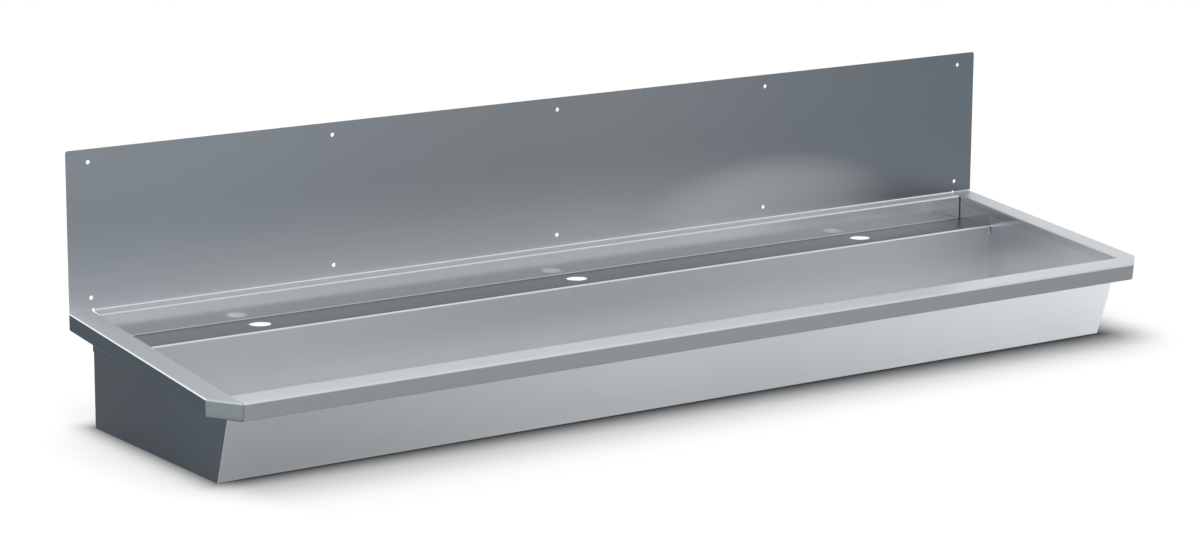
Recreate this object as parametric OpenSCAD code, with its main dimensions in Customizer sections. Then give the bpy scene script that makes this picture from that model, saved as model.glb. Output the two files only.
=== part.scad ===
// Wall-hung trough sink, folded from stainless sheet, with splashback and tap ledge.
// Millimetres. +Z is up, -Y is the front, and the trough runs along X.
// The origin is under the middle of the trough, on the plane of its underside.

/* [Overall] */
// Length along the wall
length = 1800; // [1400:50:2700]
// Depth from the wall to the front edge
depth = 465; // [400:5:550]
// Height of the rim where it meets the wall
rim_h = 185; // [160:5:230]
// Forward fall of the rim, in degrees
rim_fall = 6; // [2:0.5:9]

/* [Sheet] */
// Thickness of the stainless sheet
sheet_t = 1.5; // [1:0.1:2]
// Inside radius of every fold
bend_r = 2; // [1:0.5:3]

/* [Splashback] */
// Height of the splashback above the rim
splash_h = 250; // [150:10:400]
// Radius of the two top corners
splash_corner_r = 4; // [2:1:20]
// Diameter of the wall screw holes
screw_d = 7; // [5:0.5:9]
// Number of screw holes in each row
screw_cols = 5; // [3:1:7]
// Distance of the end screw holes from the ends
screw_end = 37.5; // [20:0.5:60]
// Distance of the screw rows from the top edge and from the rim
screw_edge = 20; // [15:1:40]
// Width of the relief notch at each end of the foot fold
notch_w = 4; // [3:0.5:6]

/* [Tap ledge] */
// Depth of the rear rim between the splashback and the upstand
rear_rim_w = 20; // [14:1:40]
// Height of the upstand from the tap ledge to the rear rim
upstand_h = 41; // [30:1:70]
// Depth of the tap ledge
ledge_w = 80; // [60:1:110]
// Gap between the folded ends and the end walls
end_gap = 2; // [1:0.5:4]
// Diameter of the tap holes
tap_d = 35; // [22:0.5:38]
// Number of tap holes
tap_count = 3; // [1:2:3]
// Distance between tap holes
tap_pitch = 600; // [300:10:620]
// Distance of the tap holes in front of the upstand
tap_setback = 37; // [25:1:50]

/* [Rim] */
// Width of the front rim
front_rim_w = 40; // [30:1:60]
// Width of the end rims
end_rim_w = 40.5; // [30:0.5:60]
// Height of the apron below the rim
apron_h = 28; // [18:1:45]
// Width of the return at the foot of the apron
apron_return = 10; // [6:1:16]
// Depth of the lip that turns down into the bowl
lip_h = 15; // [8:1:20]
// Open seam between the corner facet and the front apron
corner_gap = 0.8; // [0.3:0.1:1.5]

/* [Bowl] */
// Lean of the front wall away from vertical, in degrees
front_lean = 17.5; // [8:0.5:25]
// Diameter of the waste hole
waste_d = 52; // [40:1:70]

/* [Wall gussets] */
// Width of the gusset flanges
gusset_flange = 25; // [15:1:40]
// Size of the clipped corners
gusset_clip = 8; // [5:1:20]
// Width of the wall flange on each end wall
wall_flange = 20; // [12:1:35]
// Height of the wall flange on each end wall
wall_flange_h = 120; // [60:5:140]

/* [Sound pads] */
// Thickness of the pads
pad_t = 3; // [2:0.5:5]
// Length of each pad
pad_l = 220; // [80:10:240]
// Height of each pad
pad_h = 80; // [40:5:90]
// Corner radius of the pads
pad_r = 8; // [3:1:15]

/* [Hidden] */

// Facets of each fold, and of round holes and corners
bend_steps = 8;
hole_fn = 64;
corner_fn = 32;
// Overrun of every cutting body
over = 20;
// Turn of the corner facet from the side of the rim, in degrees
facet_turn = 45;

// Heights and depths, with the wall plane at y = 0 and the front at negative y
half_l = length / 2;
splash_top = rim_h + splash_h;
upstand_y = -(sheet_t + rear_rim_w);
ledge_y = upstand_y - ledge_w;
ledge_z = rim_z(upstand_y) - upstand_h;
tap_y = upstand_y - tap_setback;
ledge_half_l = half_l - end_rim_w - end_gap;
wall_out = half_l - end_rim_w + sheet_t;
bowl_half_l = half_l - end_rim_w;
notch_x = ledge_half_l + notch_w / 2;
fold_z = rim_z(-sheet_t) + bend_r * tan((90 - rim_fall) / 2);
edge_r = bend_r + sheet_t;
corner_y = -(depth + edge_r * (cos(rim_fall) + sin(rim_fall) - 1));

// Gussets stand halfway between the taps, and the outer pads in the middle of the end bays
gusset_x = tap_pitch / 2;
outer_pad_x = (gusset_x + gusset_flange + bowl_half_l) / 2;

// Directions in the y-z plane
down_lean = [sin(front_lean), -cos(front_lean)];
along_fall = [cos(rim_fall), sin(rim_fall)];
below_rim = [sin(rim_fall), -cos(rim_fall)];

// Front rim and bowl corners in the y-z plane
front_inner = [-(depth - front_rim_w), rim_z(-(depth - front_rim_w))];
front_edge = [corner_y, rim_z(corner_y)];
front_lip_end = front_inner + lip_h / cos(front_lean - rim_fall) * down_lean;
front_tangent = front_inner
    - edge_r * tan((90 - front_lean + rim_fall) / 2) * along_fall;
apron_foot = front_edge + apron_h * below_rim;
apron_back = apron_foot + apron_return * along_fall;
bowl_front_foot = front_inner + (front_inner.y - sheet_t) / cos(front_lean) * down_lean;
waste_y = (ledge_y + bowl_front_foot.x) / 2;

// The rim seen square to its own plane
rim_l = -corner_y / cos(rim_fall);
facet_in = half_l - wall_out;

function rim_z(y) = rim_h + y * tan(rim_fall);
function unit(v) = v / norm(v);
function left_of(v) = [-v.y, v.x];
function turned(v, a) = [v.x * cos(a) - v.y * sin(a), v.x * sin(a) + v.y * cos(a)];
function turn_between(v, w) = atan2(v.x * w.y - v.y * w.x, v.x * w.x + v.y * w.y);
function backwards(list) = [for (i = [len(list) - 1:-1:0]) list[i]];

// One side of a folded sheet. The path runs through the sharp corners of the visible face,
// with the sheet on its left, and off is the distance of this side from that face.
function fold_side(path, off) =
    let (last = len(path) - 1)
    [path[0] + off * left_of(unit(path[1] - path[0])),
     for (i = [1:last - 1])
        let (v = unit(path[i] - path[i - 1]),
             turn = turn_between(v, unit(path[i + 1] - path[i])),
             side = sign(turn),
             r = side > 0 ? bend_r + sheet_t : bend_r,
             centre = path[i] - r * tan(abs(turn) / 2) * v + side * r * left_of(v))
        for (k = [0:bend_steps])
            centre - side * (r - side * off) * turned(left_of(v), turn * k / bend_steps),
     path[last] + off * left_of(unit(path[last] - path[last - 1]))];

function sheet_outline(path) =
    concat(fold_side(path, 0), backwards(fold_side(path, sheet_t)));

// Extrudes a y-z outline along x
module along_x(l) {
    rotate([90, 0, 90]) linear_extrude(l, center = true) children();
}

// Puts the wall plane at the back of the part's own frame
module against_wall() {
    translate([0, depth / 2, 0]) children();
}

// A frame with z = 0 on the tilted top face of the rim
module rim_frame() {
    translate([0, 0, rim_h]) rotate([rim_fall, 0, 0]) children();
}

// The space between the wall and the outer face of the front wall
module inside_outline() {
    polygon(concat(
        fold_side([[0, sheet_t], bowl_front_foot, front_inner - over * down_lean], sheet_t),
        [[0, rim_h + over]]));
}

module splash_outline() {
    difference() {
        union() {
            translate([-half_l, rim_h])
                square([length, splash_h - splash_corner_r]);
            translate([-half_l + splash_corner_r, rim_h])
                square([length - 2 * splash_corner_r, splash_h]);
            for (side = [-1, 1])
                translate([side * (half_l - splash_corner_r), splash_top - splash_corner_r])
                    circle(splash_corner_r, $fn = corner_fn);
        }
        translate([-notch_x - notch_w / 2, rim_h - over])
            square([2 * notch_x + notch_w, fold_z - rim_h + over]);
        for (side = [-1, 1])
            translate([side * notch_x, fold_z]) circle(d = notch_w, $fn = corner_fn);
    }
}

module screw_holes() {
    pitch = (length - 2 * screw_end) / (screw_cols - 1);
    for (i = [0:screw_cols - 1], z = [rim_h + screw_edge, splash_top - screw_edge])
        translate([screw_end - half_l + i * pitch, over, z])
            rotate([90, 0, 0]) cylinder(d = screw_d, h = 2 * over, $fn = hole_fn);
}

module tap_holes() {
    for (i = [0:tap_count - 1])
        translate([(i - (tap_count - 1) / 2) * tap_pitch, tap_y, ledge_z - over])
            cylinder(d = tap_d, h = 2 * over, $fn = hole_fn);
}

// Splashback, rear rim, upstand, tap ledge and lip, folded from one sheet
module splashback() {
    color([0.58, 0.61, 0.63]) against_wall() difference() {
        union() {
            rotate([90, 0, 0]) linear_extrude(sheet_t) splash_outline();
            along_x(2 * ledge_half_l) polygon(sheet_outline([
                [-sheet_t, fold_z + notch_w],
                [-sheet_t, rim_z(-sheet_t)],
                [upstand_y, rim_z(upstand_y)],
                [upstand_y, ledge_z],
                [ledge_y, ledge_z],
                [ledge_y, ledge_z - lip_h]]));
        }
        screw_holes();
        tap_holes();
    }
}

// Rear wall, bottom and front wall, folded from one sheet between the end walls
module bowl_pan() {
    color([0.66, 0.68, 0.7]) against_wall() difference() {
        along_x(2 * bowl_half_l) polygon(sheet_outline([
            [ledge_y, ledge_z - lip_h],
            [ledge_y, sheet_t],
            bowl_front_foot,
            front_lip_end]));
        translate([0, waste_y, -over]) cylinder(d = waste_d, h = 2 * over, $fn = hole_fn);
    }
}

// Front rim with its lip, apron and return. Only the rim and the apron reach over the end walls.
module front_rim() {
    color([0.76, 0.78, 0.8]) against_wall() difference() {
        along_x(2 * wall_out) polygon(sheet_outline([
            front_lip_end, front_inner, front_edge, apron_foot, apron_back]));
        for (side = [-1, 1])
            translate([side * (bowl_half_l + over), 0, 0]) along_x(2 * over) polygon([
                front_tangent - over * below_rim,
                front_tangent + 2 * over * below_rim,
                front_tangent + 2 * over * below_rim + over * along_fall,
                front_tangent - over * below_rim + over * along_fall]);
    }
}

// Section of the rim's edge, with x inwards from the edge and the path's legs of these lengths
function edge_path(rim_leg, return_leg) =
    [[rim_leg, 0], [0, 0], [0, -apron_h], [return_leg, -apron_h]];

module edge_sheet() {
    polygon(sheet_outline(edge_path(facet_in / 2, apron_return)));
}

// All that lies inwards of the outer face of the edge
module edge_inside() {
    polygon(fold_side(edge_path(length, length), 0));
}

module edge_run(at, turn) {
    translate(at) rotate([90, 0, turn])
        linear_extrude(4 * rim_l, center = true) children();
}

// The left apron and its corner facet. Each runs up to the outer face of the other, which
// leaves the corner as one bent sheet, and the facet stops short of the front apron.
module apron_strip() {
    side = [-half_l, 0, 0];
    facet = [-half_l, facet_in - rim_l, 0];
    intersection() {
        union() {
            intersection() {
                edge_run(side, 0) edge_sheet();
                edge_run(facet, facet_turn) edge_inside();
            }
            intersection() {
                edge_run(facet, facet_turn) edge_sheet();
                edge_run(side, 0) edge_inside();
            }
        }
        translate([-half_l - over, -rim_l - over, -apron_h - over])
            cube([facet_in - corner_gap + over, rim_l + 2 * over, apron_h + 2 * over]);
    }
}

// Flat top of the left rim, which runs into the flat parts of the strip and of the lip
module left_flange() {
    edge_in = edge_r + sheet_t;
    lip_x = -bowl_half_l;
    front_y = -norm(front_tangent - [0, rim_h]);
    bend_end_y = front_y + edge_r;
    polygon([
        [-half_l + edge_in, over],
        [lip_x - edge_in, over],
        [lip_x - edge_in, bend_end_y],
        [lip_x, bend_end_y],
        [lip_x, front_y],
        [-wall_out, front_y],
        [-wall_out, -rim_l + edge_in / cos(facet_turn)],
        [-half_l + edge_in, facet_in - rim_l + edge_in * tan(facet_turn / 2)]]);
}

// Left rim with its lip, apron and corner facet
module left_rim_solid() {
    difference() {
        rim_frame() {
            translate([0, 0, -sheet_t]) linear_extrude(sheet_t) left_flange();
            apron_strip();
        }
        translate([-length, 0, 0]) cube([2 * length, 2 * over, 2 * rim_h]);
    }
    intersection() {
        rim_frame() translate([0, over, 0]) rotate([90, 0, 0]) linear_extrude(rim_l)
            polygon(sheet_outline([
                [-bowl_half_l, -lip_h], [-bowl_half_l, 0],
                [-bowl_half_l - facet_in / 2, 0]]));
        along_x(2 * length) inside_outline();
    }
}

module left_rim() {
    color([0.74, 0.76, 0.78]) against_wall() left_rim_solid();
}

module right_rim() {
    color([0.74, 0.76, 0.78]) against_wall() mirror([1, 0, 0]) left_rim_solid();
}

// Left end wall, which reaches the building wall and turns a flange along it
module left_end_wall_solid() {
    translate([-(wall_out + bowl_half_l) / 2, 0, 0]) along_x(sheet_t) difference() {
        inside_outline();
        polygon([[over, rim_h - lip_h / cos(rim_fall) + over * tan(rim_fall)],
            [-depth, rim_z(-depth) - lip_h / cos(rim_fall)],
            [-depth, 2 * rim_h], [over, 2 * rim_h]]);
        translate([-edge_r, -over])
            square([edge_r + over, wall_flange_h + over]);
    }
    linear_extrude(wall_flange_h) polygon(sheet_outline([
        [-wall_out + wall_flange, 0], [-wall_out, 0], [-wall_out, -2 * edge_r]]));
}

module left_end_wall() {
    color([0.44, 0.48, 0.51]) against_wall() left_end_wall_solid();
}

module right_end_wall() {
    color([0.44, 0.48, 0.51]) against_wall() mirror([1, 0, 0]) left_end_wall_solid();
}

// Folded gusset between the rear wall of the bowl and the building wall
module gusset_solid() {
    front_y = ledge_y + sheet_t;
    top_z = ledge_z - sheet_t;
    intersection() {
        linear_extrude(top_z) polygon(sheet_outline([
            [gusset_flange, 0], [0, 0], [0, front_y], [gusset_flange, front_y]]));
        along_x(3 * gusset_flange) polygon([
            [0, 0], [0, top_z - gusset_clip], [-gusset_clip, top_z],
            [front_y + gusset_clip, top_z], [front_y, top_z - gusset_clip],
            [front_y, edge_r], [front_y + edge_r, 0]]);
    }
}

module left_gusset() {
    color([0.5, 0.53, 0.55]) against_wall() translate([-gusset_x, 0, 0])
        mirror([1, 0, 0]) gusset_solid();
}

module right_gusset() {
    color([0.5, 0.53, 0.55]) against_wall() translate([gusset_x, 0, 0])
        gusset_solid();
}

// Sound-deadening pad on the back of the bowl's rear wall
module sound_pad_solid(x) {
    mid_z = (ledge_z - lip_h) / 2;
    translate([x, ledge_y + sheet_t + pad_t, mid_z]) rotate([90, 0, 0])
        linear_extrude(pad_t) {
            square([pad_l - 2 * pad_r, pad_h], center = true);
            square([pad_l, pad_h - 2 * pad_r], center = true);
            for (sx = [-1, 1], sz = [-1, 1])
                translate([sx * (pad_l / 2 - pad_r), sz * (pad_h / 2 - pad_r)])
                    circle(pad_r, $fn = corner_fn);
        }
}

module left_sound_pad() {
    color([0.16, 0.16, 0.17]) against_wall() sound_pad_solid(-outer_pad_x);
}

module centre_sound_pad() {
    color([0.16, 0.16, 0.17]) against_wall() sound_pad_solid(0);
}

module right_sound_pad() {
    color([0.16, 0.16, 0.17]) against_wall() sound_pad_solid(outer_pad_x);
}

splashback();
bowl_pan();
front_rim();
left_rim();
right_rim();
left_end_wall();
right_end_wall();
left_gusset();
right_gusset();
left_sound_pad();
centre_sound_pad();
right_sound_pad();
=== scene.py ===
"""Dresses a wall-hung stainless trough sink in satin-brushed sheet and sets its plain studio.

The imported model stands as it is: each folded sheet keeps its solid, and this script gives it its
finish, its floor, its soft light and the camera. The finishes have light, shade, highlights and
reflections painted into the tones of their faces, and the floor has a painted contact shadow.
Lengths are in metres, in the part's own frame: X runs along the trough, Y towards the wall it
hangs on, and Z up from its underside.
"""

from __future__ import annotations

import logging
import math
from abc import ABC, abstractmethod
from dataclasses import dataclass, field
from enum import Enum
from typing import Any, Mapping, Sequence, Union

import bpy
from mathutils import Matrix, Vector


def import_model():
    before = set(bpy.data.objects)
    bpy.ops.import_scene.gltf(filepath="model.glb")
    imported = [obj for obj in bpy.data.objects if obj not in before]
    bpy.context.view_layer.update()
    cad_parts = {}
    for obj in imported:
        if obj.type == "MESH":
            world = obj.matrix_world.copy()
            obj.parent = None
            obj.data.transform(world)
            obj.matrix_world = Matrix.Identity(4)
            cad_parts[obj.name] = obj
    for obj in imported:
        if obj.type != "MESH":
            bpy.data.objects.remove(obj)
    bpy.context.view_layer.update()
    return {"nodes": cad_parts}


log = logging.getLogger("trough_sink")

Colour = tuple[float, float, float]
Triple = tuple[float, float, float]
Number = Union[int, float]

# Widths of the change from one face of a sheet to the next
CRISP = 0.0004
SHARP = 0.0006
SOFT = 0.001

# How bare a face's metal is
BARE = 1.0
MATT = 0.35

# How rough a face is
SATIN = 0.33
BRIGHT = 0.2
MIRROR = 0.14

# How far steel's blue rises as its red falls
BLUE_RISE = 0.85


class Grain(Enum):
    """The way in which the brush has run over a sheet."""

    ALONG = "along the trough"
    ACROSS = "from the wall to the front"
    UPRIGHT = "up and down"


class Wire:
    """A node's output that takes part in Python's sums."""

    def __init__(self, sheet: "NodeSheet", socket: bpy.types.NodeSocket | None) -> None:
        """Keeps the sheet that new nodes go on, and the socket, if the node has one."""
        self.sheet = sheet
        self.socket = socket

    def _math(self, operation: str, first: "Feed", second: "Feed") -> "Wire":
        """Adds one Math node.

        Args:
            operation: The name of the Math node's operation.
            first: What goes into its first socket.
            second: What goes into its second socket.

        Returns:
            The node's output.
        """
        return self.sheet.node(
            "ShaderNodeMath", {"operation": operation}, {0: first, 1: second}
        )

    def __add__(self, other: "Feed") -> "Wire":
        """Adds a value or a wire."""
        return self._math("ADD", self, other)

    def __radd__(self, other: "Feed") -> "Wire":
        """Adds this wire to a value."""
        return self._math("ADD", other, self)

    def __sub__(self, other: "Feed") -> "Wire":
        """Takes a value or a wire away."""
        return self._math("SUBTRACT", self, other)

    def __rsub__(self, other: "Feed") -> "Wire":
        """Takes this wire away from a value."""
        return self._math("SUBTRACT", other, self)

    def __mul__(self, other: "Feed") -> "Wire":
        """Multiplies by a value or a wire."""
        return self._math("MULTIPLY", self, other)

    def __rmul__(self, other: "Feed") -> "Wire":
        """Multiplies a value by this wire."""
        return self._math("MULTIPLY", other, self)

    def __truediv__(self, other: "Feed") -> "Wire":
        """Divides by a value or a wire."""
        return self._math("DIVIDE", self, other)

    def __rtruediv__(self, other: "Feed") -> "Wire":
        """Divides a value by this wire."""
        return self._math("DIVIDE", other, self)

    def __pow__(self, power: Number) -> "Wire":
        """Raises to a power."""
        return self._math("POWER", self, power)

    def within(self) -> "Wire":
        """Keeps the wire between 0 and 1."""
        return self.sheet.node("ShaderNodeClamp", {}, {"Value": self})

    def above(self, edge: float, blend: float) -> "Wire":
        """Finds where this wire is above an edge.

        Args:
            edge: The value in the middle of the change.
            blend: How wide the change is.

        Returns:
            A mask from 0 below the edge to 1 above it.
        """
        return self.sheet.node(
            "ShaderNodeMapRange",
            {"interpolation_type": "SMOOTHSTEP", "clamp": True},
            {"Value": self, "From Min": edge - blend / 2, "From Max": edge + blend / 2},
        )


Feed = Union[Wire, Number, Colour, Sequence[float]]


def spot(first: Wire, second: Wire, centre: Sequence[float], reach: Sequence[float]) -> Wire:
    """Makes a round mask with a soft edge.

    Args:
        first: One measure of the surface.
        second: The other measure.
        centre: Where the mask is 1, in both measures.
        reach: How far it goes to 0 in both measures.

    Returns:
        A mask from 1 in the middle to 0 at the reach.
    """
    across = (first - centre[0]) * (1.0 / reach[0])
    up = (second - centre[1]) * (1.0 / reach[1])
    return 1.0 - (across * across + up * up).above(0.5, 1.0)


class NodeSheet:
    """The nodes of one material or world."""

    noise_fall = 0.55

    def __init__(self, owner: Union[bpy.types.Material, bpy.types.World]) -> None:
        """Turns the owner's nodes on and clears them.

        Args:
            owner: The material or world whose nodes these are.
        """
        owner.use_nodes = True
        self.tree = owner.node_tree
        self.tree.nodes.clear()

    def node(
        self,
        kind: str,
        settings: Mapping[str, Any],
        feeds: Mapping[Union[str, int], Feed],
        output: Union[str, int] = 0,
    ) -> Wire:
        """Makes a node of any kind, sets it and joins it up.

        Args:
            kind: The node's type name.
            settings: The node's own settings, which are set before its sockets.
            feeds: The values or wires of its input sockets, by name or place.
            output: The output socket that is wanted.

        Returns:
            That output as a wire, which is empty for a node without outputs.
        """
        made = self.tree.nodes.new(kind)
        for name, value in settings.items():
            setattr(made, name, value)
        for name, feed in feeds.items():
            self.join(made.inputs[name], feed)
        return Wire(self, made.outputs[output] if made.outputs else None)

    def join(self, socket: bpy.types.NodeSocket, feed: Feed) -> None:
        """Sets one input socket, or links it.

        Args:
            socket: The input socket.
            feed: A wire to link, or a plain value.
        """
        if isinstance(feed, Wire):
            self.tree.links.new(feed.socket, socket)
        elif isinstance(feed, (int, float)):
            socket.default_value = feed
        elif socket.type == "RGBA":
            socket.default_value = (*feed, 1.0)[:4]
        else:
            socket.default_value = feed

    def place(self, kind: str = "Object") -> tuple[Wire, Wire, Wire, Wire]:
        """Reads where a surface point is on the object, or which way the world is looked at.

        Args:
            kind: Object for a surface, or Generated for the world.

        Returns:
            The point as a vector, and its x, y and z.
        """
        point = self.node("ShaderNodeTexCoord", {}, {}, kind)
        parts = self.tree.nodes.new("ShaderNodeSeparateXYZ")
        self.join(parts.inputs[0], point)
        return (point, *(Wire(self, out) for out in parts.outputs))

    def background(self) -> tuple[Wire, Wire]:
        """Finds the rays that see the white background.

        Returns:
            1 for the camera's rays, and 1 for those of metal and glass.
        """
        seen, metal, glass = (
            self.node("ShaderNodeLightPath", {}, {}, name)
            for name in ("Is Camera Ray", "Is Glossy Ray", "Is Transmission Ray")
        )
        return seen, (metal + glass).within()

    def blend(self, mask: Feed, first: Feed, second: Feed) -> Wire:
        """Goes from one colour to another.

        Args:
            mask: 0 for the first colour and 1 for the second.
            first: The colour where the mask is 0.
            second: The colour where the mask is 1.

        Returns:
            The blended colour.
        """
        return self.node(
            "ShaderNodeMix",
            {"data_type": "RGBA"},
            {0: mask, 6: first, 7: second},
            2,
        )

    def grey(self, level: Wire) -> Wire:
        """Makes a grey of one level.

        Args:
            level: The level of its red, green and blue.

        Returns:
            The grey.
        """
        return self.node(
            "ShaderNodeCombineColor", {"mode": "RGB"}, {0: level, 1: level, 2: level}
        )

    def ramp(self, along: Wire, stops: Sequence[tuple[float, Colour]]) -> Wire:
        """Reads a colour from soft steps along one measure.

        Args:
            along: The measure, from 0 to 1.
            stops: The places of the colours, and the colours.

        Returns:
            The colour.
        """
        made = self.tree.nodes.new("ShaderNodeValToRGB")
        made.color_ramp.interpolation = "EASE"
        steps = made.color_ramp.elements
        while len(steps) < len(stops):
            steps.new(0.5)
        for step, (where, colour) in zip(steps, stops):
            step.position = where
            step.color = (*colour, 1.0)
        self.join(made.inputs[0], along)
        return Wire(self, made.outputs[0])

    def noise(self, point: Wire, stretch: Triple, detail: float, turn: float = 0.0) -> Wire:
        """Makes smooth noise that is stretched along the object's axes.

        Args:
            point: The place on the object.
            stretch: Waves to the metre along X, Y and Z.
            detail: Octaves of finer noise.
            turn: Distance by which the pattern is moved, so that two differ.

        Returns:
            Noise from 0 to 1.
        """
        mapped = self.node(
            "ShaderNodeMapping",
            {"vector_type": "POINT"},
            {"Vector": point, "Scale": stretch, "Location": (turn, turn, turn)},
        )
        return self.node(
            "ShaderNodeTexNoise",
            {"noise_dimensions": "3D"},
            {"Vector": mapped, "Scale": 1.0, "Detail": detail, "Roughness": self.noise_fall},
        )


def steel(level: float, cool: float = 0.045) -> Colour:
    """Gives steel's cool grey at a level.

    Args:
        level: The green part of the colour.
        cool: How far red stays below it and blue is above it.

    Returns:
        The colour.
    """
    return (level * (1.0 - cool), level, level * (1.0 + BLUE_RISE * cool))


@dataclass(frozen=True)
class Tone:
    """The colour of one face of a sheet from its left end to its right, and its polish. Most
    finishes paint light, shade and reflections into these colours and into their change from end
    to end.
    """

    left: Colour
    middle: Colour
    right: Colour
    metal: float = BARE
    rough: float = SATIN

    @classmethod
    def even(cls, colour: Colour, metal: float = BARE, rough: float = SATIN) -> "Tone":
        """Makes a tone that is the same from end to end."""
        return cls(colour, colour, colour, metal, rough)

    def stops(self) -> tuple[tuple[float, Colour], ...]:
        """Gives the colours with their places, from 0 at the left end to 1 at the right."""
        return ((0.0, self.left), (0.5, self.middle), (1.0, self.right))


@dataclass(frozen=True)
class SteelFinish(ABC):
    """Satin-brushed stainless sheet: hairlines, slow clouds and the tones of its faces, into which
    most finishes paint light, shade, highlights and reflections.
    """

    name: str
    grain: Grain = Grain.ALONG
    hairline: float = 0.03
    cloud: float = 0.03
    brush: float = 0.1
    half_length: float = 0.9
    edge: Colour = (1.0, 1.0, 1.0)
    hair_waves: tuple[float, float] = (900.0, 6.0)
    hair_octaves: float = 3.0
    streak_waves: tuple[float, float] = (95.0, 1.3)
    streak_turn: float = 3.7
    streak_depth: float = 0.3
    streak_polish: float = 0.18
    slow_octaves: float = 2.0
    cloud_waves: Triple = (2.2, 3.1, 4.3)
    cloud_turn: float = 9.1
    cloud_polish: float = 0.15
    groove: float = 0.0002

    @abstractmethod
    def faces(self, x: Wire, y: Wire, z: Wire) -> Sequence[tuple[Feed, Tone]]:
        """Lists the sheet's faces, each with the mask that lays it over those before it.

        The first tone takes in the whole sheet, so its mask isn't read.

        Args:
            x: Place along the trough.
            y: Place towards the wall.
            z: Height.

        Returns:
            The masks and the tones.
        """

    def stretch(self, fine: float, slow: float) -> Triple:
        """Gives the noise stretch that suits the grain.

        Args:
            fine: Waves to the metre across the grain.
            slow: Waves to the metre along the grain.

        Returns:
            Waves to the metre along X, Y and Z.
        """
        if self.grain is Grain.ALONG:
            return (slow, fine, fine)
        if self.grain is Grain.ACROSS:
            return (fine, slow, fine)
        return (fine, fine, slow)

    def tones(self, sheet: NodeSheet, x: Wire, y: Wire, z: Wire) -> tuple[Wire, Feed, Feed]:
        """Lays the faces' tones over each other.

        Args:
            sheet: The node sheet to work on.
            x: Place along the trough.
            y: Place towards the wall.
            z: Height.

        Returns:
            The colour, how bare the metal is, and how rough.
        """
        along = x * (0.5 / self.half_length) + 0.5
        (_, first), *others = self.faces(x, y, z)
        colour = sheet.ramp(along, first.stops())
        metal: Feed = first.metal
        rough: Feed = first.rough
        for mask, tone in others:
            here = sheet.ramp(along, tone.stops())
            colour = sheet.blend(mask, colour, here)
            metal = mask * tone.metal + (1.0 - mask) * metal
            rough = mask * tone.rough + (1.0 - mask) * rough
        return colour, metal, rough

    def material(self) -> bpy.types.Material:
        """Builds the finish.

        Returns:
            The material.
        """
        made = bpy.data.materials.new(self.name)
        sheet = NodeSheet(made)
        point, x, y, z = sheet.place()
        fine = self.stretch(*self.hair_waves)
        broad = self.stretch(*self.streak_waves)
        hair = sheet.noise(point, fine, self.hair_octaves)
        streak = sheet.noise(point, broad, self.slow_octaves, self.streak_turn)
        cloud = sheet.noise(point, self.cloud_waves, self.slow_octaves, self.cloud_turn)
        shade = (
            1.0
            + self.hairline * (hair - 0.5)
            + self.hairline * (streak - 0.5)
            + self.cloud * (cloud - 0.5)
        )
        level = sheet.grey(shade)
        tone, metal, base_rough = self.tones(sheet, x, y, z)
        colour = sheet.node(
            "ShaderNodeMix",
            {"data_type": "RGBA", "blend_type": "MULTIPLY"},
            {0: 1.0, 6: tone, 7: level},
            2,
        )
        bump = sheet.node(
            "ShaderNodeBump",
            {},
            {
                "Strength": self.brush,
                "Distance": self.groove,
                "Height": hair + self.streak_depth * streak,
            },
        )
        rough = base_rough * (
            1.0 + self.streak_polish * (streak - 0.5) + self.cloud_polish * (cloud - 0.5)
        )
        shader = sheet.node(
            "ShaderNodeBsdfPrincipled",
            {},
            {
                "Base Color": colour,
                "Metallic": metal,
                "Roughness": rough,
                "Specular Tint": self.edge,
                "Normal": bump,
            },
        )
        sheet.node("ShaderNodeOutputMaterial", {}, {"Surface": shader})
        return made


@dataclass(frozen=True)
class PlainFinish(SteelFinish):
    """A sheet whose faces all have one tone."""

    tone: Tone = Tone.even(steel(0.5))

    def faces(self, x: Wire, y: Wire, z: Wire) -> Sequence[tuple[Feed, Tone]]:
        """Gives the one tone, with a mask that takes in the whole sheet."""
        return ((1.0, self.tone),)


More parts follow.
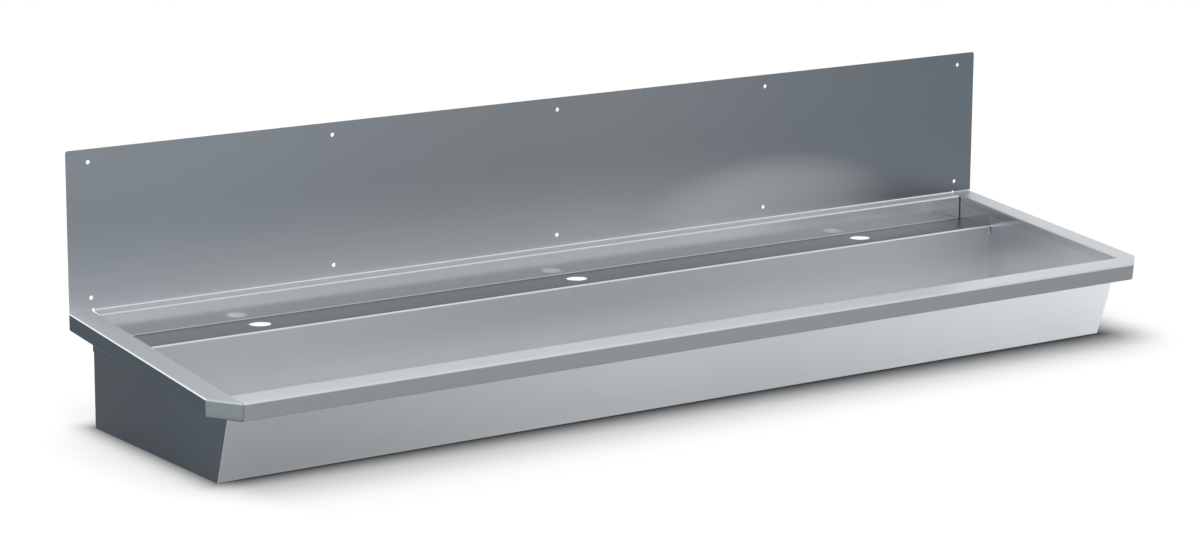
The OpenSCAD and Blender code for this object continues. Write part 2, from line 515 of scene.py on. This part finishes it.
@dataclass(frozen=True)
class BackSheetFinish(SteelFinish):
    """The folded back sheet: splash, rear rim, upstand, tap ledge and lip, with light, shade,
    highlights and reflections painted into their tones.
    """

    brush: float = 0.05
    edge: Colour = (0.62, 0.64, 0.66)
    # Painted reflection and shade: the splash darkens from its left end to its right.
    splash: Tone = Tone(steel(0.262, 0.12), steel(0.217, 0.09), steel(0.157, 0.155))
    # Painted reflection: a lighter band rises from the splash's foot to foot_top and fades out at
    # the right end.
    foot: Tone = Tone(steel(0.69, 0.05), steel(0.64, 0.05), steel(0.16, 0.12))
    # Painted highlight: a soft bright patch on the splash, right of the middle, just above its
    # foot.
    painted_glow: Tone = Tone.even(steel(0.95, 0.03))
    # Painted highlights: bright lines along the splash's foot bend, the rear rim's front bend and
    # the ledge's front bend.
    crease: Tone = Tone.even(steel(0.83, 0.03))
    # Painted reflection: the rear rim is lighter at its right end.
    rim: Tone = Tone(steel(0.68), steel(0.64), steel(0.78), 0.5)
    upper_bend: Tone = Tone.even(steel(0.66, 0.03))
    lower_bend: Tone = Tone.even(steel(0.71, 0.03))
    # Painted reflection: the upstand is toned lighter towards its foot and darker at its right
    # end.
    upstand: Tone = Tone(steel(0.97, 0.02), steel(0.96, 0.02), steel(0.8, 0.02), 0.9, MIRROR)
    upstand_foot: Tone = Tone(steel(0.99, 0.01), steel(0.99, 0.01), steel(0.84, 0.02), 0.8, MIRROR)
    back: Tone = Tone.even(steel(0.4), 0.8)
    # Painted light: the crease at the upstand's foot is a thin line of its own tone, lighter than
    # the ledge and darker than the upstand.
    upstand_crease: Tone = Tone.even(steel(0.42, 0.03))
    # Painted shade: the tap ledge under the splash is toned dark.
    ledge: Tone = Tone(steel(0.272, 0.05), steel(0.235, 0.05), steel(0.36, 0.05))
    # Painted shade: the lip is darker in the middle, and from corner_x it darkens further into the
    # bowl's right corner.
    lip: Tone = Tone(steel(0.77, 0.025), steel(0.62, 0.025), steel(0.76, 0.025), MATT)
    lip_corner: Tone = Tone.even(steel(0.55, 0.05), MATT)
    corner_x: float = 0.74
    corner_blend: float = 0.26
    foot_top: float = 0.36
    foot_power: float = 2.5
    painted_glow_at: tuple[float, float] = (0.44, 0.19)
    painted_glow_reach: tuple[float, float] = (0.3, 0.115)
    painted_glow_share: float = 0.27
    splash_z: float = 0.1867
    crease_z: float = 0.1852
    rim_z: float = 0.1826
    upper_bend_z: float = 0.1793
    back_y: float = 0.21175
    splash_back_y: float = 0.23175
    upstand_middle_z: float = 0.166
    upstand_blend: float = 0.014
    upstand_z: float = 0.1434
    upstand_crease_z: float = 0.1421
    ledge_z: float = 0.1414
    lower_bend_z: float = 0.1384

    def faces(self, x: Wire, y: Wire, z: Wire) -> Sequence[tuple[Feed, Tone]]:
        """Lists the legs of the fold, from the lip up.

        Args:
            x: Place along the trough.
            y: Place towards the wall.
            z: Height.

        Returns:
            The masks and the tones.
        """
        upright = z.above(self.splash_z, SOFT)
        # Painted reflection: the lighter band at the splash's foot, fading upwards.
        drop = self.foot_top - self.splash_z
        low = self.foot_top - z
        foot = ((low * (1.0 / drop)).within() ** self.foot_power) * upright
        # Painted highlight: a soft round patch on the splash's front face.
        painted_glow = spot(x, z, self.painted_glow_at, self.painted_glow_reach) * self.painted_glow_share * upright
        painted_glow = painted_glow * (1.0 - y.above(self.splash_back_y, CRISP))
        return (
            (1.0, self.lip),
            # Painted shade towards the bowl's right corner.
            (x.above(self.corner_x, self.corner_blend), self.lip_corner),
            # Painted highlight along the ledge's front bend.
            (z.above(self.lower_bend_z, SHARP), self.lower_bend),
            # Painted shade on the tap ledge.
            (z.above(self.ledge_z, CRISP), self.ledge),
            (z.above(self.upstand_crease_z, CRISP), self.upstand_crease),
            # Painted reflection: the upstand's lighter lower part.
            (z.above(self.upstand_z, SHARP), self.upstand_foot),
            (z.above(self.upstand_middle_z, self.upstand_blend), self.upstand),
            (y.above(self.back_y, CRISP), self.back),
            # Painted highlight along the rear rim's front bend.
            (z.above(self.upper_bend_z, SHARP), self.upper_bend),
            (z.above(self.rim_z, SHARP), self.rim),
            # Painted highlight along the splash's foot bend.
            (z.above(self.crease_z, CRISP), self.crease),
            (upright, self.splash),
            (foot, self.foot),
            (painted_glow, self.painted_glow),
        )


@dataclass(frozen=True)
class PanFinish(SteelFinish):
    """The bowl's folded sheet, inside and out, with shade, light and reflections painted into its
    tones.
    """

    # Painted shade: the inside is darker in the middle than at its ends.
    inside: Tone = Tone(steel(0.77, 0.025), steel(0.61, 0.025), steel(0.76, 0.025), MATT)
    # Painted shade: the bowl's right corner, under the ledge's end, is darkened, and less so low
    # down.
    corner: Tone = Tone.even(steel(0.55, 0.05), MATT)
    # Painted light: the inside is lighter low down, below below_z.
    below: Tone = Tone(steel(0.84, 0.025), steel(0.77, 0.025), steel(0.85, 0.025), MATT)
    # Painted reflection: the outside of the front wall goes from dark at its left end to light at
    # its right.
    front: Tone = Tone(steel(0.376), steel(0.585), steel(0.8), 0.85)
    back: Tone = Tone.even(steel(0.42), 0.8)
    back_y: float = 0.13175
    underside_z: float = 0.00075
    bottom: Tone = Tone.even(steel(0.62, 0.03), 0.5)
    bottom_z: float = 0.01
    bottom_blend: float = 0.012
    corner_x: float = 0.74
    corner_blend: float = 0.26
    corner_fade: float = 0.8
    below_z: float = 0.08
    below_blend: float = 0.07
    lean: float = math.radians(17.5)
    foot_y: float = -0.14873
    half_sheet: float = 0.00075

    def faces(self, x: Wire, y: Wire, z: Wire) -> Sequence[tuple[Feed, Tone]]:
        """Lists the inside, what is turned to the wall and the floor, and the front.

        Args:
            x: Place along the trough.
            y: Place towards the wall.
            z: Height.

        Returns:
            The masks and the tones.
        """
        inwards = (y - self.foot_y) * math.cos(self.lean) + z * math.sin(self.lean)
        outside = 1.0 - inwards.above(-self.half_sheet, SHARP)
        # Painted light on the lower part of the inside.
        below = 1.0 - z.above(self.below_z, self.below_blend)
        # Painted shade in the bowl's right corner.
        corner = x.above(self.corner_x, self.corner_blend)
        return (
            (1.0, self.inside),
            (below, self.below),
            (corner * (1.0 - self.corner_fade * below), self.corner),
            (1.0 - z.above(self.bottom_z, self.bottom_blend), self.bottom),
            (y.above(self.back_y, CRISP), self.back),
            (1.0 - z.above(self.underside_z, CRISP), self.back),
            # Painted reflection on the outside of the front wall.
            (outside, self.front),
        )


@dataclass(frozen=True)
class EndFinish(SteelFinish):
    """An end wall, whose tone, with shade, light and reflections painted into it, changes from its
    rear edge to its front and from its foot up.
    """

    # Painted shade and reflection: the inner face changes tone from its rear edge to its front,
    # and again at its foot.
    rear: Tone = Tone.even(steel(0.4))
    front: Tone = Tone.even(steel(0.6))
    rear_foot: Tone = Tone.even(steel(0.5))
    front_foot: Tone = Tone.even(steel(0.6))
    # Painted light: the inner face next to the bowl's rear wall, above its foot, takes its own
    # tone, which blends it into the rear wall it mirrors.
    painted_corner_tone: Tone = Tone.even(steel(0.5))
    # Painted reflection and shade: the outer face takes its own tone, which changes from the rear
    # to the front.
    outer: Tone = Tone.even(steel(0.42))
    outer_front: Tone = Tone.even(steel(0.42))
    # Painted shade: a dark mark on the inner face where the ledge's lip stops short of the end
    # wall.
    painted_gap_shade: Tone = Tone.even(steel(0.36))
    # Painted shade: near black on the inner face behind the upstand.
    painted_shade_behind: Tone = Tone.even(steel(0.04))
    foot_z: float = 0.11
    foot_blend: float = 0.05
    painted_corner_y: float = 0.095
    painted_corner_blend: float = 0.07
    bowl_y: float = 0.1315
    middle_y: float = -0.06
    blend: float = 0.28
    hidden_x: float = 0.8603
    gap_y: float = 0.1262
    gap_foot_z: float = 0.128
    gap_top_z: float = 0.1405
    upstand_y: float = 0.2095

    def faces(self, x: Wire, y: Wire, z: Wire) -> Sequence[tuple[Feed, Tone]]:
        """Lists the inner face, the outer face and what is shut off behind the back sheet, which
        is painted in shade.

        Args:
            x: Place along the trough.
            y: Place towards the wall.
            z: Height.

        Returns:
            The masks and the tones.
        """
        outer = ((x * x) ** 0.5).above(self.hidden_x, CRISP)
        # Painted shade and light: masks for the rear and the foot of the inner face.
        rear = y.above(self.middle_y, self.blend)
        inner = 1.0 - outer
        foot = 1.0 - z.above(self.foot_z, self.foot_blend)
        # Painted light by the bowl's rear corner.
        painted_corner_tone = y.above(self.painted_corner_y, self.painted_corner_blend) * (1.0 - y.above(self.bowl_y, SOFT))
        level = z.above(self.gap_foot_z, SOFT) * (1.0 - z.above(self.gap_top_z, SOFT))
        return (
            (1.0, self.front),
            (rear, self.rear),
            (foot * (1.0 - rear), self.front_foot),
            (foot * rear, self.rear_foot),
            (painted_corner_tone * (1.0 - foot), self.painted_corner_tone),
            # Painted reflection and shade on the outer face.
            (outer, self.outer_front),
            (outer * rear, self.outer),
            # Painted shade in the gap at the lip's end.
            (y.above(self.gap_y, SOFT) * level * inner, self.painted_gap_shade),
            # Painted shade behind the upstand.
            (y.above(self.upstand_y, SOFT) * inner, self.painted_shade_behind),
        )


@dataclass(frozen=True)
class RimFinish(SteelFinish):
    """A rim sheet: its flat top, the outer bend, the apron with its cut corner, and the lip, with
    light, shade, highlights and reflections painted into their tones.
    """

    # The tones below are the brightnesses the faces show, with shade and reflections painted in.
    top: Tone = Tone.even(steel(0.53), MATT)
    # Painted highlight: a bright line along the outer bend, toned down where it runs round the cut
    # corner.
    bend: Tone = Tone.even(steel(0.95, 0.02))
    apron: Tone = Tone.even(steel(0.285, 0.06))
    corner: Tone = Tone.even((0.225, 0.265, 0.268))
    corner_bend: Tone = Tone.even(steel(0.55, 0.03))
    lip: Tone = Tone.even(steel(0.32), MATT)
    # Painted reflection: the lip's tone towards the rear, which can differ from its front.
    lip_rear: Tone = Tone.even(steel(0.32), MATT)
    # Painted shade: near black on the lip behind the upstand.
    painted_shade_behind: Tone = Tone.even(steel(0.04))
    wall_y: float = 0.2325
    rim_h: float = 0.185
    fall: float = math.radians(6.0)
    bend_top: float = 0.0009
    bend_foot: float = 0.0022
    corner_at: float = 1.0907
    corner_blend: float = 0.003
    side_x: float = 0.875
    front_y: float = 0.205
    side_blend: float = 0.01
    middle_y: float = -0.06
    blend: float = 0.28
    upstand_y: float = 0.2095

    def faces(self, x: Wire, y: Wire, z: Wire) -> Sequence[tuple[Feed, Tone]]:
        """Lists the top, the lip, the outer bend, the apron and the cut corner.

        Args:
            x: Place along the trough.
            y: Place towards the wall.
            z: Height.

        Returns:
            The masks and the tones.
        """
        below = (self.rim_h - z) * math.cos(self.fall) + (y - self.wall_y) * math.sin(self.fall)
        out = (x * x) ** 0.5
        sides = out.above(self.side_x, self.side_blend)
        front = (0.0 - y).above(self.front_y, self.side_blend)
        outer = (sides + front).within()
        corner = (out - y).above(self.corner_at, self.corner_blend)
        inner = below.above(self.bend_foot, SOFT)
        bend = below.above(self.bend_top, SHARP) * outer
        under = below.above(self.bend_foot, SHARP) * outer
        return (
            (1.0, self.top),
            (inner, self.lip),
            (inner * y.above(self.middle_y, self.blend), self.lip_rear),
            # Painted shade behind the upstand.
            (inner * y.above(self.upstand_y, SOFT), self.painted_shade_behind),
            # Painted highlight along the outer bend.
            (bend, self.bend),
            (bend * corner, self.corner_bend),
            (under, self.apron),
            (under * corner, self.corner),
        )


@dataclass(frozen=True)
class PadFinish:
    """Black sound-deadening rubber with a fine pebbled face."""

    name: str
    colour: Colour = (0.018, 0.018, 0.02)
    dust: float = 2.2
    roughness: float = 0.72
    wear: float = 0.2
    pebble_waves: Triple = (700.0, 700.0, 700.0)
    pebble_octaves: float = 2.0
    pebble_relief: float = 0.5
    pebble_depth: float = 0.0006
    patch_waves: Triple = (14.0, 14.0, 14.0)
    patch_octaves: float = 3.0
    patch_turn: float = 5.0

    def material(self) -> bpy.types.Material:
        """Builds the finish.

        Returns:
            The material.
        """
        made = bpy.data.materials.new(self.name)
        sheet = NodeSheet(made)
        point = sheet.place()[0]
        pebble = sheet.noise(point, self.pebble_waves, self.pebble_octaves)
        patch = sheet.noise(point, self.patch_waves, self.patch_octaves, self.patch_turn)
        dusty = tuple(self.dust * part for part in self.colour)
        shader = sheet.node(
            "ShaderNodeBsdfPrincipled",
            {},
            {
                "Base Color": sheet.blend(patch, self.colour, dusty),
                "Roughness": self.roughness + self.wear * (patch - 0.5),
                "Normal": sheet.node(
                    "ShaderNodeBump",
                    {},
                    {
                        "Strength": self.pebble_relief,
                        "Distance": self.pebble_depth,
                        "Height": pebble,
                    },
                ),
            },
        )
        sheet.node("ShaderNodeOutputMaterial", {}, {"Surface": shader})
        return made


def dress(node: bpy.types.Object, finish: Union[SteelFinish, PadFinish]) -> None:
    """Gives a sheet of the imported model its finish.

    Args:
        node: The sheet's object.
        finish: The finish that it takes.
    """
    node.data.materials.clear()
    node.data.materials.append(finish.material())
    log.info("%s is dressed in %s", node.name, finish.name)


@dataclass
class BackSheet:
    """Splashback, rear rim, upstand and tap ledge, folded from one sheet."""

    finish: BackSheetFinish = BackSheetFinish("back_sheet_steel")

    def build(self, nodes: Mapping[str, bpy.types.Object]) -> None:
        """Dresses the sheet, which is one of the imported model's objects."""
        dress(nodes["splashback"], self.finish)


@dataclass
class Bowl:
    """The bowl's folded sheet and the two end walls that close it."""

    pan: PanFinish = PanFinish("bowl_steel")
    # Painted shade and reflection: the left end's outside is near-black blue-grey, its inside matt
    # and even.
    left_end: EndFinish = EndFinish(
        "left_end_steel",
        Grain.ACROSS,
        rear=Tone.even(steel(0.55, 0.025), MATT),
        front=Tone.even(steel(0.6, 0.025), MATT),
        rear_foot=Tone.even(steel(0.58, 0.025), MATT),
        front_foot=Tone.even(steel(0.6, 0.025), MATT),
        painted_corner_tone=Tone.even(steel(0.55, 0.025), MATT),
        outer=Tone.even(steel(0.047, 0.3)),
        outer_front=Tone.even(steel(0.066, 0.3)),
    )
    # Painted reflection and shade: the right end's inside is a bright mirror that darkens towards
    # the rear and lightens at its foot, and its outside is mid grey.
    right_end: EndFinish = EndFinish(
        "right_end_steel",
        Grain.ACROSS,
        rear=Tone.even(steel(0.68, 0.03), BARE, BRIGHT),
        front=Tone.even(steel(0.96, 0.015), BARE, BRIGHT),
        rear_foot=Tone.even(steel(0.88, 0.02), BARE, BRIGHT),
        front_foot=Tone.even(steel(0.99, 0.01), BARE, BRIGHT),
        painted_corner_tone=Tone.even(steel(0.78, 0.03), BARE, BRIGHT),
        outer=Tone.even(steel(0.3, 0.06)),
        outer_front=Tone.even(steel(0.33, 0.06)),
    )

    def build(self, nodes: Mapping[str, bpy.types.Object]) -> None:
        """Dresses the three sheets.

        Args:
            nodes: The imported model's objects by name.
        """
        dress(nodes["bowl_pan"], self.pan)
        dress(nodes["left_end_wall"], self.left_end)
        dress(nodes["right_end_wall"], self.right_end)


@dataclass
class Rim:
    """The front rim and the two side rims, with their aprons."""

    # Painted reflection: the front rim's top darkens towards its right end, and its bend's
    # highlight is toned down.
    front: RimFinish = RimFinish(
        "front_rim_steel",
        top=Tone(steel(0.66), steel(0.645), steel(0.54), MATT),
        bend=Tone.even(steel(0.6, 0.03)),
        apron=Tone(steel(0.285, 0.06), steel(0.285, 0.06), steel(0.265, 0.06)),
    )
    # Painted highlight and shade: the left rim's bend is a white line and its apron is near-black
    # blue-grey.
    left: RimFinish = RimFinish(
        "left_rim_steel",
        Grain.ACROSS,
        edge=(0.6, 0.61, 0.62),
        top=Tone.even(steel(0.55), MATT),
        bend=Tone.even(steel(1.0, 0.01)),
        bend_top=0.0008,
        bend_foot=0.0024,
        apron=Tone.even(steel(0.092, 0.2)),
    )
    # Painted reflection: the right rim's lip is a light mirror, darker towards the rear.
    right: RimFinish = RimFinish(
        "right_rim_steel",
        Grain.ACROSS,
        lip=Tone.even(steel(0.86, 0.025), BARE, BRIGHT),
        lip_rear=Tone.even(steel(0.6, 0.025), BARE, BRIGHT),
    )

    def build(self, nodes: Mapping[str, bpy.types.Object]) -> None:
        """Dresses the three sheets.

        Args:
            nodes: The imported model's objects by name.
        """
        dress(nodes["front_rim"], self.front)
        dress(nodes["left_rim"], self.left)
        dress(nodes["right_rim"], self.right)


@dataclass
class Back:
    """What is behind the bowl: two gussets and three sound pads."""

    gusset: PlainFinish = PlainFinish(
        "gusset_steel", Grain.UPRIGHT, tone=Tone.even(steel(0.4), BARE, 0.36)
    )
    pad: PadFinish = PadFinish("sound_pad_rubber")

    def build(self, nodes: Mapping[str, bpy.types.Object]) -> None:
        """Dresses the gussets and the pads.

        Args:
            nodes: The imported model's objects by name.
        """
        for side in ("left", "right"):
            dress(nodes[f"{side}_gusset"], self.gusset)
        for place in ("left", "centre", "right"):
            dress(nodes[f"{place}_sound_pad"], self.pad)


@dataclass
class Skylight:
    """Far soft light that reaches the whole floor evenly."""

    name: str = "overhead_skylight"
    way: Triple = (0.03, -0.1, -1.0)
    spread: float = math.radians(70.0)
    power: float = 1.7

    def build(self) -> None:
        """Sets the light and turns it to the trough."""
        data = bpy.data.lights.new(self.name, "SUN")
        data.energy = self.power
        data.angle = self.spread
        lamp = bpy.data.objects.new(self.name, data)
        bpy.context.scene.collection.objects.link(lamp)
        lamp.rotation_euler = Vector(self.way).to_track_quat("-Z", "Y").to_euler()
        lamp.visible_glossy = False
        log.info("%s gives %.2f W to the square metre", self.name, self.power)


@dataclass
class Softbox:
    """One lamp with a soft square face."""

    name: str
    place: Triple
    power: float
    width: float = 0.7
    height: float = 0.7
    aim: Triple = (0.0, 0.0, 0.15)

    def build(self) -> None:
        """Hangs the lamp and turns it to its aim."""
        data = bpy.data.lights.new(self.name, "AREA")
        data.shape = "RECTANGLE"
        data.size = self.width
        data.size_y = self.height
        data.energy = self.power
        lamp = bpy.data.objects.new(self.name, data)
        bpy.context.scene.collection.objects.link(lamp)
        lamp.location = self.place
        way = Vector(self.aim) - Vector(self.place)
        lamp.rotation_euler = way.to_track_quat("-Z", "Y").to_euler()
        lamp.visible_glossy = False
        log.info("%s gives %.1f W", self.name, self.power)


@dataclass
class Studio:
    """White floor, white surroundings, a skylight, two small lamps and the camera."""

    floor_side: float = 40.0
    floor_z: float = -0.0004
    floor_tone: float = 0.955
    floor_mirrored: float = 0.7
    foot_half: tuple[float, float] = (0.861, 0.191)
    foot_middle_y: float = 0.0419
    contact_shade: float = 0.92
    contact_power: float = 1.8
    # Painted light: beyond the trough's left end the floor is lighter and its painted shadow
    # weaker.
    left_x: float = -0.86
    left_blend: float = 0.1
    left_lift: float = 0.06
    left_share: float = 0.55
    contact_reach: tuple[float, float] = (0.0915, 0.036)
    # Painted light: the camera sees the floor partly shine by itself, more to the left, which
    # lifts its real shadow.
    floor_glow: tuple[float, float, float] = (0.17, -0.06, 0.26)
    dome: float = 0.5
    dome_lean: tuple[float, float] = (-0.04, 0.1)
    lamps: tuple[Union[Skylight, Softbox], ...] = field(
        default_factory=lambda: (
            Skylight(),
            Softbox("front_right_lamp", place=(2.2, -1.6, 2.9), power=12.0),
            Softbox("rear_left_lamp", place=(-1.7, 2.6, 2.2), power=10.0),
        )
    )
    focal_px: float = 3548.9
    frame_px: float = 1200.0
    centre_px: float = 493.2
    sensor_mm: float = 36.0
    far: float = 100.0
    eye: Triple = (-3.27508, -4.50329, 1.38518)
    yaw: float = 0.58682
    pitch: float = -0.21426

    def build_world(self) -> None:
        """Sets white surroundings, which light a little more from the rear left."""
        world = bpy.data.worlds.new("white_room")
        bpy.context.scene.world = world
        sheet = NodeSheet(world)
        seen, mirrored = sheet.background()
        white = (seen + mirrored).within()
        _, x, y, _ = sheet.place("Generated")
        lean = x * self.dome_lean[0] + y * self.dome_lean[1] + self.dome
        strength = lean * (1.0 - white) + white
        light = sheet.node(
            "ShaderNodeBackground", {}, {"Color": (1.0, 1.0, 1.0), "Strength": strength}
        )
        sheet.node("ShaderNodeOutputWorld", {}, {"Surface": light})

    def floor_colour(self, sheet: NodeSheet) -> tuple[Wire, Wire]:
        """Makes the floor white, with a painted shadow where the bowl's foot meets it and painted
        light beyond its left end.

        Args:
            sheet: The node sheet to work on.

        Returns:
            The colour, and how much of the floor shines by itself to the camera, which lifts its
            shadow as painted light.
        """
        _, x, y, _ = sheet.place()
        seen = sheet.background()[0]
        side = (x * 0.5 + 0.5).within() * 2.0 - 1.0
        reach = side * self.contact_reach[1] + self.contact_reach[0]
        outwards = y - self.foot_middle_y
        beside = (((x * x) ** 0.5 - self.foot_half[0]) / reach).within()
        before = (((outwards * outwards) ** 0.5 - self.foot_half[1]) / reach).within()
        near = (1.0 - (beside * beside + before * before) ** 0.5).within()
        # Painted light beyond the trough's left end.
        left = 1.0 - x.above(self.left_x, self.left_blend)
        shade = self.contact_shade * (1.0 - left * self.left_share) * near**self.contact_power
        shade = shade * seen
        level = (left * self.left_lift + self.floor_tone) * (1.0 - shade)
        # Painted light: the floor's share of shining by itself.
        plain, across, end = self.floor_glow
        return sheet.grey(level), plain + side * across + left * end

    def build_floor(self) -> None:
        """Lays the white floor just under the trough, with a contact shadow painted on it."""
        bpy.ops.object.select_all(action="DESELECT")
        bpy.ops.mesh.primitive_plane_add(
            size=self.floor_side, location=(0.0, 0.0, self.floor_z)
        )
        floor = bpy.context.object
        bpy.ops.object.transform_apply(location=True, rotation=True, scale=True)
        floor.name = "floor"
        made = bpy.data.materials.new("white_floor")
        sheet = NodeSheet(made)
        seen, mirrored = sheet.background()
        colour, painted_glow = self.floor_colour(sheet)
        plain = sheet.node("ShaderNodeBsdfDiffuse", {}, {"Color": colour})
        white = sheet.node(
            "ShaderNodeEmission",
            {},
            {"Color": sheet.blend(seen, (1.0, 1.0, 1.0), colour), "Strength": 1.0},
        )
        share = seen * painted_glow.within() + mirrored * self.floor_mirrored
        both = sheet.node("ShaderNodeMixShader", {}, {0: share, 1: plain, 2: white})
        sheet.node("ShaderNodeOutputMaterial", {}, {"Surface": both})
        floor.data.materials.append(made)

    def build_camera(self) -> None:
        """Stands the camera where the photograph was taken from."""
        data = bpy.data.cameras.new("camera")
        data.sensor_fit = "HORIZONTAL"
        data.sensor_width = self.sensor_mm
        data.lens = self.focal_px / self.frame_px * data.sensor_width
        data.shift_x = 0.5 - self.centre_px / self.frame_px
        data.clip_end = self.far
        camera = bpy.data.objects.new("camera", data)
        bpy.context.scene.collection.objects.link(camera)
        camera.location = self.eye
        camera.rotation_euler = (math.pi / 2 + self.pitch, 0.0, -self.yaw)
        bpy.context.scene.camera = camera

    def build(self) -> None:
        """Sets up the whole studio."""
        bpy.context.scene.view_settings.view_transform = "Standard"
        self.build_world()
        self.build_floor()
        for lamp in self.lamps:
            lamp.build()
        self.build_camera()


def main() -> None:
    """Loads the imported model, dresses it and sets the studio round it."""
    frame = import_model()
    nodes = frame["nodes"]
    for part in (BackSheet(), Bowl(), Rim(), Back()):
        part.build(nodes)
        log.info("%s is done", type(part).__name__)
    Studio().build()


if __name__ == "__main__":
    logging.basicConfig(level=logging.INFO, format="%(message)s")
    main()
